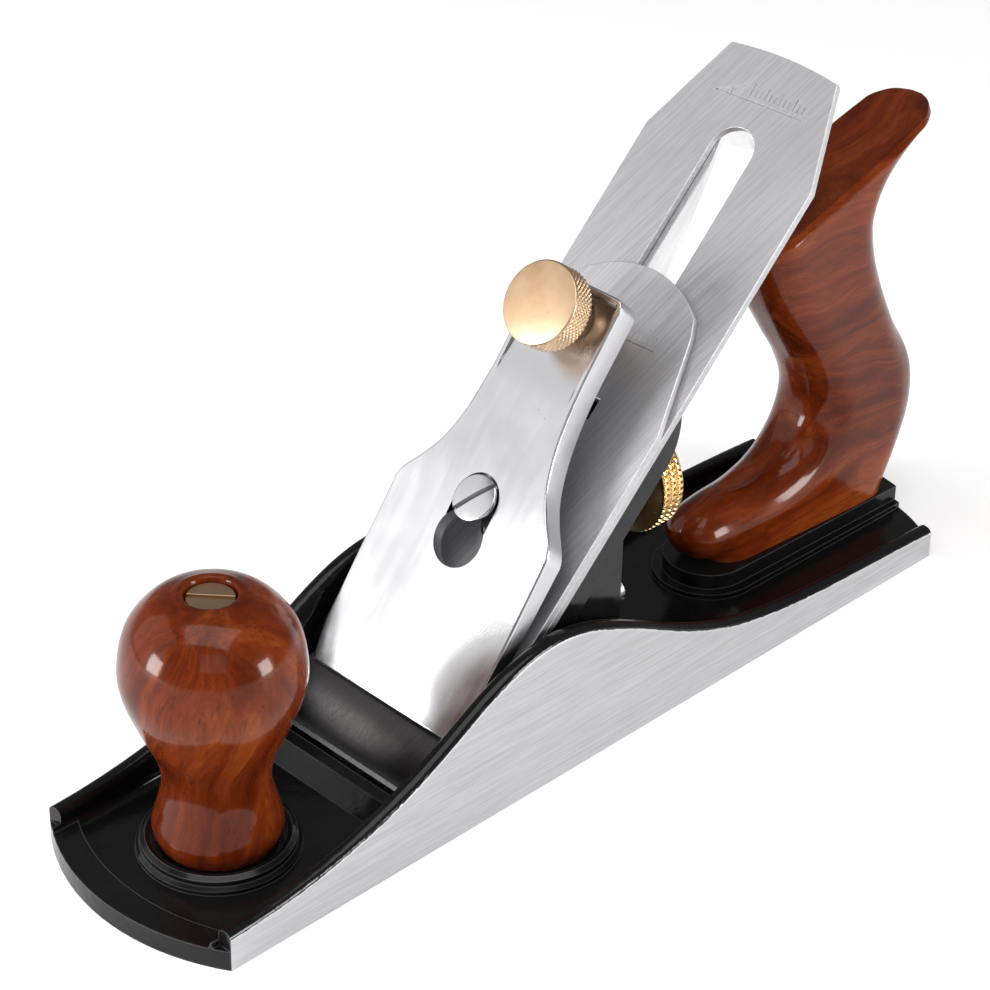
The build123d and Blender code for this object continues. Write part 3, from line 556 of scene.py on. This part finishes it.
def angle_mark(place):
    """An angle sign on a long base line with a row of even graduation ticks, no lettering."""
    strokes = [(0, 0, MARK_LENGTH, 0), (0, 0, 7.1, 3.3)]
    arc = [(ARC_RADIUS * cos(radians(a)), ARC_RADIUS * sin(radians(a))) for a in (0, 8, 16, 25)]
    strokes += [(*a, *b) for a, b in zip(arc, arc[1:])]
    for k in range(TICKS):
        x = TICK_START + TICK_STEP * k
        strokes.append((x, 1.2, x, 4.4 if k % 3 == 0 else 3.2))
    return [groove(place, *line, MARK_WIDTH, MARK_DEPTH) for line in strokes]


def mark_place(u, y, d, turn):
    """Face coordinates in mm at a point over the bed, with x running across it towards -Y."""
    base = axes_to(OFF_BED, -ACROSS, bed(u, y, d))
    return base @ Matrix.Rotation(radians(turn), 4, "Z")


iron = refined("cutting_iron", "cutting_iron_ground", [BLADE], "iron")
soften(iron, 0.14)
cut(iron, angle_mark(mark_place(180.8, 12.7, 0, 1.6)), sharp=8)

breaker = refined("chip_breaker", "chip_breaker_ground", [BREAKER], "breaker")
soften(breaker, 0.16)
cut(breaker, angle_mark(mark_place(118.3, 13.4, 2, 1.6)), sharp=8)

# ------------------------------------------------------------------ lever cap
CAP_RISE = 0.155
CAP_FRONT = 20.3
CAP_END = 123.4
CAP_CORNER = 2.6
KEYHOLE_U = 60.5
CAP_SCREW_U = 70.0
KEYHOLE_RADIUS = 6.8
NECK_RADIUS = 4.0
SEAT_RADIUS = 6.1
SEAT_FLOOR = 13.0
THUMB_BORE = 3.35
THUMB_U = 115.2
CAP_THICKNESS = 3.4
EDGE_ROUND = 0.55
POCKET_DEPTH = 1.05
CAP_WAIST = [(66.0, 24.4), (68.6, 23.3), (73.5, 19.6), (79.0, 16.4), (87.0, 14.0), (96.0, 12.8),
             (105.0, 12.5), (113.0, 12.7), (124.0, 13.0)]
cap_waist_line = [(p.x, p.y) for p in curve_through(CAP_WAIST, 8)]
CAP_UNDER = [(20.3, 5.4), (38.0, 4.3), (67.5, 7.2), (123.8, 15.7)]


def cap_plane(u):
    return 6.25 + CAP_RISE * (u - CAP_FRONT)


def cap_half_width(u):
    if u < 29.0:
        w = ramp([(20.3, 22.7), (22.0, 23.6), (29.0, 24.6)], u)
    elif u < 66.0:
        w = ramp([(29.0, 24.6), (66.0, 24.4)], u)
    else:
        w = ramp(cap_waist_line, u)
    over = u - (CAP_END - CAP_CORNER)
    if over > 0:
        w -= CAP_CORNER - sqrt(max(0.0, CAP_CORNER ** 2 - over ** 2))
    return w


def cap_top(u, y):
    w = cap_half_width(u)
    inset = w - abs(y)
    end_inset = CAP_END - u
    front_inset = u - CAP_FRONT
    d = cap_plane(u)
    d -= 0.45 * (abs(y) / 24.6) ** 2.4 * (1 - smoothstep(60, 75, u))
    for gap, r in ((inset, EDGE_ROUND), (end_inset, EDGE_ROUND), (front_inset, 0.4)):
        if gap < r:
            d -= r - sqrt(max(0.0, r * r - (r - gap) ** 2))
    d -= 0.25 * (1 - smoothstep(CAP_FRONT, CAP_FRONT + 12, u)) ** 2
    pocket = smoothstep(96.0, 108.0, u) * POCKET_DEPTH
    pocket *= smoothstep(1.25, 1.75, inset) * smoothstep(1.5, 2.1, end_inset)
    return d - pocket


def cap_under(u, y):
    w = cap_half_width(u)
    low = ramp(CAP_UNDER, u)
    skin = cap_plane(u) - CAP_THICKNESS
    inner = smoothstep(2.4, 2.9, w - abs(y)) * smoothstep(42.0, 43.0, u)
    inner *= 1 - smoothstep(119.6, 120.2, u)
    return low + max(0.0, skin - low) * inner


def slab(stations, fractions, half_width, top, under):
    """A plate whose top and underside are height maps over the bed. Faces of the rim get material 1."""
    cols = [-f for f in reversed(fractions[1:])] + list(fractions)
    n = len(cols)
    verts = []
    for surface in (top, under):
        for u in stations:
            w = half_width(u)
            for c in cols:
                y = c * w
                verts.append(bed(u, y, surface(u, y)))
    layer = len(stations) * n
    faces = []
    kinds = []
    for i in range(len(stations) - 1):
        for j in range(n - 1):
            a = i * n + j
            faces.append((a, a + 1, a + n + 1, a + n))
            kinds.append(0)
            b = layer + a
            faces.append((b, b + n, b + n + 1, b + 1))
            kinds.append(1)
        for j in (0, n - 1):
            a = i * n + j
            wall = (a, a + n, layer + a + n, layer + a)
            faces.append(wall if j == 0 else tuple(reversed(wall)))
            kinds.append(1)
    for i in (0, len(stations) - 1):
        for j in range(n - 1):
            a = i * n + j
            wall = (a, layer + a, layer + a + 1, a + 1)
            faces.append(wall if i == 0 else tuple(reversed(wall)))
            kinds.append(1)
    return verts, faces, kinds


def spread(low, high, count):
    return [low + (high - low) * i / count for i in range(count + 1)]


stations = [CAP_FRONT + 1.8 * (k / 9) ** 2 for k in range(9)]
stations += spread(22.1, 41.9, 18) + spread(42.0, 43.0, 3)
stations += spread(44.0, 66.0, 20)[:-1] + spread(66.0, 96.0, 40)[:-1] + spread(96.0, 119.5, 34)
stations += [119.65, 119.8, 120.0, 120.2, 120.5]
stations += [CAP_END - CAP_CORNER + CAP_CORNER * sin(pi / 2 * k / 14) for k in range(1, 15)]
stations = sorted(set(round(u, 4) for u in stations))
fractions = spread(0.0, 0.78, 14)
fractions += [0.80, 0.82, 0.84, 0.855, 0.865, 0.875, 0.885, 0.895, 0.905, 0.915, 0.93, 0.945, 0.957]
fractions += [0.967, 0.976, 0.983, 0.989, 0.994, 0.998, 1.0]
verts, faces, kinds = slab(stations, fractions, cap_half_width, cap_top, cap_under)
cap = new_object("lever_cap_plate", verts, faces, [PLATE, PLATE_SIDE], "cap", kinds, sharp=32)
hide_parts("lever_cap")
bed_face = axes_to(OFF_BED, UP_BED, bed(0, 0, 0))
cap_normal = (OFF_BED - CAP_RISE * UP_BED).normalized()
cap_face = axes_to(cap_normal, UP_BED, bed(THUMB_U, 0, cap_plane(THUMB_U)))
keyhole = prism(circle(KEYHOLE_U, 0, KEYHOLE_RADIUS), -2, 30, bed_face)
neck = prism(slot_shape(KEYHOLE_U, CAP_SCREW_U, NECK_RADIUS), -2, 30, bed_face)
seat = prism(slot_shape(KEYHOLE_U + 2.0, CAP_SCREW_U, SEAT_RADIUS), SEAT_FLOOR, 22, bed_face)
thumb_hole = prism(circle(0, 0, THUMB_BORE), -9, 9, cap_face)
cut(cap, [keyhole, neck, seat, thumb_hole], sharp=32)
soften(cap, 0.12, 1, 50)

boss_outline = [(3.4, -8.2), (5.6, -8.2), (6.1, -7.7), (6.1, -3.6), (3.4, -3.6)]
verts, faces = closed_lathe(boss_outline, 48, cap_face)
boss = new_object("lever_cap_boss", verts, faces, [PLATE_SIDE], "cap")


# ------------------------------------------------------------------ lever cap screw
AXIS_RADIUS = 0.02
SCREW_SLOT_ANGLE = -35.5
SCREW_SLOT_HALF = 0.62


def dome_profile(r, low, high, rise, edge):
    """Foot to crown of a low domed head with a rounded rim."""
    turns = [pi / 2 * k / 4 for k in range(4, -1, -1)]
    rim = [(r - edge + edge * sin(a), high - edge + edge * cos(a)) for a in turns]
    shares = [1 - k / 8 for k in range(1, 8)]
    crown = [((r - edge) * t, high + rise * (1 - t ** 2)) for t in shares]
    return [(r - 0.3, low), (r, low + 0.3)] + rim + crown + [(AXIS_RADIUS, high + rise)]


screw_face = axes_to(OFF_BED, UP_BED, bed(CAP_SCREW_U, 0, 0))
profile = [(3.42, -12.0), (3.42, 13.05)] + dome_profile(5.65, 13.06, 15.35, 0.42, 0.35)
verts, faces = capped_lathe(profile, 96, screw_face)
cap_screw = new_object("lever_cap_screw_turned", verts, faces, [PLATE], "frog")
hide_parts("lever_cap_screw")
slot_corners = [(x, y * SCREW_SLOT_HALF) for x, y in ((-7, -1), (7, -1), (7, 1), (-7, 1))]
slot_place = screw_face @ Matrix.Rotation(radians(SCREW_SLOT_ANGLE), 4, "Z")
cut(cap_screw, [prism(slot_corners, 14.35, 18, slot_place)])
soften(cap_screw, 0.1)

# ------------------------------------------------------------------ thumb screw head
HEAD_LOW = 4.2
HEAD_HIGH = 11.2
HEAD_RADIUS = 9.85
CROWN_RISE = 0.62


def diamond(angle, height, around, rows, depth, low, high):
    """Depth of a diamond knurl: square pyramids standing on their corners."""
    if height < low or height > high:
        return 0.0
    a = angle / (2 * pi) * around
    b = (height - low) / (high - low) * rows
    p = (a + b) % 1.0
    q = (a - b) % 1.0
    peak = min(p, 1 - p, q, 1 - q) * 2
    return depth * (min(1.0, peak * 1.25) - 1.0)


knurl_low = HEAD_LOW + 0.55
knurl_high = HEAD_HIGH - 0.75
head = [(THUMB_BORE, 0.4), (4.6, 0.4), (4.7, 0.5), (4.7, 1.4), (5.5, 1.4), (5.6, 1.5), (5.6, 3.9),
        (5.8, 4.2), (HEAD_RADIUS - 0.75, HEAD_LOW), (HEAD_RADIUS - 0.45, HEAD_LOW + 0.12)]
knurl_first = len(head)
head += [(HEAD_RADIUS, h) for h in spread(knurl_low, knurl_high, 36)]
knurl_last = len(head) - 1
for k in range(1, 6):
    turn = pi / 2 * k / 5
    rounded = 0.35 * (1 - cos(turn)) + 0.1 * k / 5
    head.append((HEAD_RADIUS - rounded, knurl_high + 0.55 * sin(turn)))
crown_edge = head[-1]
for k in range(1, 16):
    t = 1 - k / 16
    head.append((crown_edge[0] * t, crown_edge[1] + CROWN_RISE * (1 - t ** 2.4)))
head.append((AXIS_RADIUS, crown_edge[1] + CROWN_RISE))
head += [(AXIS_RADIUS, HEAD_HIGH - 2.7), (THUMB_BORE, HEAD_HIGH - 2.9)]


def head_relief(angle, height, k):
    if not knurl_first <= k <= knurl_last:
        return 0.0
    return diamond(angle, height, 50, 4.5, 0.42, knurl_low - 0.01, knurl_high + 0.01)


verts, faces = closed_lathe(head, 450, cap_face, head_relief)
thumb = new_object("thumb_screw_knurled", verts, faces, [PALE_BRASS], "thumb_head", sharp=55)
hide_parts("thumb_screw_head")

# ------------------------------------------------------------------ depth wheel
wheel_low, wheel_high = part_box("depth_wheel")
WHEEL_Z = (wheel_low[2] + wheel_high[2]) / 2
WHEEL_R = (wheel_high[2] - wheel_low[2]) / 2 / MM
WHEEL_REAR = wheel_high[0] / MM
WHEEL_FRONT = WHEEL_REAR - 7.2
HUB_FRONT = wheel_low[0] / MM
wheel_axis = axes_to((1, 0, 0), (0, 0, 1), Vector((0, 0, WHEEL_Z)))
WHEEL_BORE = 4.45
ROW_STEP = 2.28
ROW_WIDTH = 1.85
TEETH = 58
wheel = [(WHEEL_BORE, HUB_FRONT), (7.0, HUB_FRONT), (7.2, HUB_FRONT + 0.2), (7.2, 18.2), (7.0, 18.4),
         (5.2, 18.4), (5.2, 23.6), (7.0, 23.6), (7.2, 23.8), (7.2, WHEEL_FRONT),
         (WHEEL_R - 0.8, WHEEL_FRONT), (WHEEL_R - 0.3, WHEEL_FRONT + 0.15)]
row_spans = []
for row in range(3):
    low = WHEEL_FRONT + 0.35 + ROW_STEP * row
    high = low + ROW_WIDTH
    wheel.append((WHEEL_R - 0.75, low))
    row_start = len(wheel)
    for t in spread(0, 1, 6):
        wheel.append((WHEEL_R - 0.28 * (abs(2 * t - 1) ** 4), low + 0.08 + (high - low - 0.16) * t))
    row_spans.append((row_start, len(wheel) - 1))
    wheel.append((WHEEL_R - 0.75, high))
wheel += [(WHEEL_R - 0.9, WHEEL_REAR), (8.6, WHEEL_REAR), (8.2, WHEEL_REAR - 0.5),
          (6.4, WHEEL_REAR - 0.5), (6.2, WHEEL_REAR), (WHEEL_BORE, WHEEL_REAR)]


def tooth_relief(angle, height, k):
    for n, (first, last) in enumerate(row_spans):
        if first <= k <= last:
            phase = (angle / (2 * pi) * TEETH + 0.5 * n) % 1.0
            return -0.5 * smoothstep(0.30, 0.42, abs(phase - 0.5))
    return 0.0


verts, faces = closed_lathe(wheel, TEETH * 8, wheel_axis, tooth_relief)
wheel_object = new_object("depth_wheel_knurled", verts, faces, [KNURL_BRASS], "wheel", sharp=50)
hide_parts("depth_wheel")

# ------------------------------------------------------------------ knob
knob_low, knob_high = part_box("knob")
KNOB_X = (knob_low[0] + knob_high[0]) / 2
KNOB_BASE = knob_low[2] / MM
KNOB_OUTLINE = [(13.2, KNOB_BASE + 0.4), (14.5, 10.6), (13.3, 15.6), (11.9, 22.0), (12.9, 29.0),
                (16.5, 37.5), (19.6, 46.0), (20.15, 52.5), (18.3, 60.6), (13.4, 66.8), (8.0, 69.5), (6.6, 69.8)]
knob_line = curve_through(KNOB_OUTLINE, 8)
knob = [(3.3, KNOB_BASE), (12.6, KNOB_BASE)] + [(p.x, p.y) for p in knob_line]
knob += [(6.1, 69.75), (5.85, 69.5), (5.8, 61.2), (3.3, 61.2)]
verts, faces = closed_lathe(knob, 160, Matrix.Translation(Vector((KNOB_X, 0, 0))))
knob_object = new_object("knob_turned", verts, faces, [ROSEWOOD_KNOB], "base", sharp=50)
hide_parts("knob")

# ------------------------------------------------------------------ nuts
nut = refined("knob_nut", "knob_nut_slotted", [PALE_BRASS], "base")
soften(nut, 0.18)
nut = refined("tote_nut", "tote_nut_slotted", [PALE_BRASS], "base")
soften(nut, 0.18)

# ------------------------------------------------------------------ tote
TOTE_FRONT = [(57.4, 9.4), (51.4, 12.6), (48.8, 18.2), (52.6, 23.4), (61.5, 25.1), (73.0, 25.6), (82.6, 28.0),
              (89.4, 34.0), (91.3, 42.0), (87.4, 52.0), (79.7, 63.8), (71.9, 76.5), (66.4, 89.0), (66.0, 93.3)]
TOTE_BACK = [(118.4, 9.4), (120.6, 14.0), (122.6, 19.0), (124.2, 24.5), (125.1, 29.0), (125.6, 33.5),
             (125.6, 38.0), (124.9, 43.0), (123.0, 48.6), (118.8, 57.0), (112.8, 69.0), (108.6, 79.5),
             (106.9, 88.0), (107.5, 92.2)]
TOTE_TOP = [(66.0, 93.3), (74.0, 95.9), (84.0, 99.2), (95.0, 102.75), (106.0, 106.35), (115.0, 109.27),
            (121.0, 111.25), (125.5, 112.45), (128.2, 112.6)]
TOTE_HORN = [(107.5, 92.2), (108.6, 94.8), (110.3, 97.4), (112.6, 99.8), (115.6, 102.2), (119.0, 104.5),
             (122.4, 106.7), (125.8, 109.0), (128.4, 111.7)]
GRIP_HALF = 10.9
PALM_ROUND = 8.5
FINGER_ROUND = 9.0
HORN_CENTRE = 117.4
HORN_RADIUS = 11.2
front_line = curve_through(TOTE_FRONT, 7)
back_line = curve_through(TOTE_BACK, 7)
top_line = curve_through(TOTE_TOP, 6)
horn_line = curve_through(TOTE_HORN, 6)


def gap_to(line, p):
    """Shortest distance from a point to a line of short straight pieces."""
    best = 1e9
    for a, b in zip(line, line[1:]):
        ab = b - a
        t = min(1.0, max(0.0, (p - a).dot(ab) / ab.length_squared))
        best = min(best, (p - a - ab * t).length)
    return best


def round_off(gap, radius):
    """How much narrower a rounded edge is at a distance inside its silhouette."""
    if gap >= radius:
        return 0.0
    return radius - sqrt(max(0.0, radius ** 2 - (radius - gap) ** 2))


def tote_half(p):
    """Half the tote's thickness at a point of its side view."""
    low = ramp([(48.0, 7.4), (60.0, 8.8), (84.0, 10.4), (105.0, 11.8), (126.0, 12.0)], p.x)
    t = low + (GRIP_HALF - low) * smoothstep(26.0, 60.0, p.y)
    if p.x > HORN_CENTRE and p.y > 80:
        t = min(t, sqrt(max(0.0, HORN_RADIUS ** 2 - (p.x - HORN_CENTRE) ** 2)))
    finger = min(FINGER_ROUND, 0.94 * t)
    palm = min(PALM_ROUND, 0.9 * t)
    t -= round_off(gap_to(front_line, p), finger)
    rear_gap = min(gap_to(back_line, p), gap_to(horn_line, p))
    t -= round_off(rear_gap, palm) * (1 - smoothstep(116, 127, p.x) * 0.55)
    t -= 1.3 * max(0.0, 1 - gap_to(top_line, p) / 1.5)
    return max(0.25, t)


SIDE_STEPS = 34
BAND_STEPS = 8
rings = list(zip(front_line, back_line)) + list(zip(top_line, horn_line))[1:]
verts = []
for f, b in rings:
    side = []
    for k in range(SIDE_STEPS + 1):
        t = (1 - cos(pi * k / SIDE_STEPS)) / 2
        p = f.lerp(b, t)
        side.append((p, tote_half(p)))
    across = [1 - 2 * k / BAND_STEPS for k in range(1, BAND_STEPS)]
    first, first_half = side[0]
    last, last_half = side[-1]
    loop = [(p.x, y, p.y) for p, y in side]
    loop += [(last.x, last_half * c, last.y) for c in across]
    loop += [(p.x, -y, p.y) for p, y in reversed(side)]
    loop += [(first.x, -first_half * c, first.y) for c in across]
    verts += [Vector(v) * MM for v in loop]
count = 2 * (SIDE_STEPS + 1) + 2 * (BAND_STEPS - 1)
faces = []
for i in range(len(rings) - 1):
    for j in range(count):
        k = (j + 1) % count
        faces.append((i * count + j, i * count + k, (i + 1) * count + k, (i + 1) * count + j))
faces.append(tuple(reversed(range(count))))
faces.append(tuple(range((len(rings) - 1) * count, len(rings) * count)))
tote = new_object("tote_carved", verts, faces, [ROSEWOOD], "base", sharp=40)
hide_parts("tote")
rod_low, rod_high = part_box("tote_rod")
nut_low, nut_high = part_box("tote_nut")
ROD_DIAMETER = 6.0 * MM
rod_run = rod_high[0] - rod_low[0] - ROD_DIAMETER * 0.944
rod_rise = rod_high[2] - rod_low[2] - ROD_DIAMETER * 0.329
rod_axis = Vector((-rod_run, 0, rod_rise)).normalized()
nut_centre = Vector(((nut_low[0] + nut_high[0]) / 2, 0, (nut_low[2] + nut_high[2]) / 2))
nut_place = axes_to(rod_axis, (1, 0, 0), nut_centre)
cut(tote, [prism(circle(0, 0, 5.8, 72), -3.6, 12, nut_place)], sharp=40)

# ------------------------------------------------------------------ stage, light and camera
floor_mesh = bpy.data.meshes.new("floor")
FLOOR_HALF = 6
corners = [(x * FLOOR_HALF, y * FLOOR_HALF, 0) for x, y in ((-1, -1), (1, -1), (1, 1), (-1, 1))]
floor_mesh.from_pydata(corners, [], [(0, 1, 2, 3)])
floor = bpy.data.objects.new("floor", floor_mesh)
bpy.context.scene.collection.objects.link(floor)
floor.location.z = -0.0002
floor_look = Shading("pale_floor", Roughness=0.75, Specular_IOR_Level=0.2)
cloudy = floor_look.level(floor_look.noise(3.0), 0.3, 0.7, 0.0, 0.2)
floor_look.set("Base Color", floor_look.mix(cloudy, (0.90, 0.90, 0.90, 1), (0.87, 0.87, 0.87, 1)))
floor_look.set("Emission Color", (1, 1, 1, 1))
floor_look.set("Emission Strength", 0.31)
floor_mesh.materials.append(floor_look.material)

world = bpy.data.worlds.new("studio")
bpy.context.scene.world = world
world.use_nodes = True
background = world.node_tree.nodes["Background"]
background.inputs["Color"].default_value = (1, 1, 1, 1)
background.inputs["Strength"].default_value = 0.20


def softbox(name, place, aim, width, height, power):
    data = bpy.data.lights.new(name, "AREA")
    data.shape = "RECTANGLE"
    data.size = width
    data.size_y = height
    data.energy = power
    lamp = bpy.data.objects.new(name, data)
    bpy.context.scene.collection.objects.link(lamp)
    lamp.location = place
    lamp.rotation_euler = (Vector(aim) - Vector(place)).to_track_quat("-Z", "Y").to_euler()


softbox("overhead", (-0.24, -0.16, 1.05), (-0.02, 0, 0.03), 1.00, 0.75, 6.6)
softbox("back_left", (-0.64, 0.68, 0.50), (-0.02, 0, 0.08), 0.95, 0.90, 2.6)
softbox("front", (-0.78, -0.84, 0.90), (-0.02, 0, 0.06), 0.75, 0.50, 1.2)
softbox("left", (-0.92, 0.38, 0.22), (-0.05, 0, 0.06), 0.30, 0.38, 8.5)
softbox("right", (0.37, -0.92, 0.22), (-0.05, 0, 0.06), 0.30, 0.38, 7.5)

camera_data = bpy.data.cameras.new("camera")
camera_data.sensor_width = 36.0
camera_data.lens = 113.66
camera_data.clip_start = 0.05
camera_data.clip_end = 30.0
camera = bpy.data.objects.new("camera", camera_data)
bpy.context.scene.collection.objects.link(camera)
eye = Vector((-0.43630, -0.41788, 0.43328))
aim = Vector((-0.01431, 0.0, 0.05799))
ROLL = 1.31
look = (aim - eye).to_track_quat("-Z", "Y").to_matrix().to_4x4()
camera.matrix_world = Matrix.Translation(eye) @ look @ Matrix.Rotation(radians(ROLL), 4, "Z")
bpy.context.scene.camera = camera
bpy.context.scene.view_settings.view_transform = "Standard"
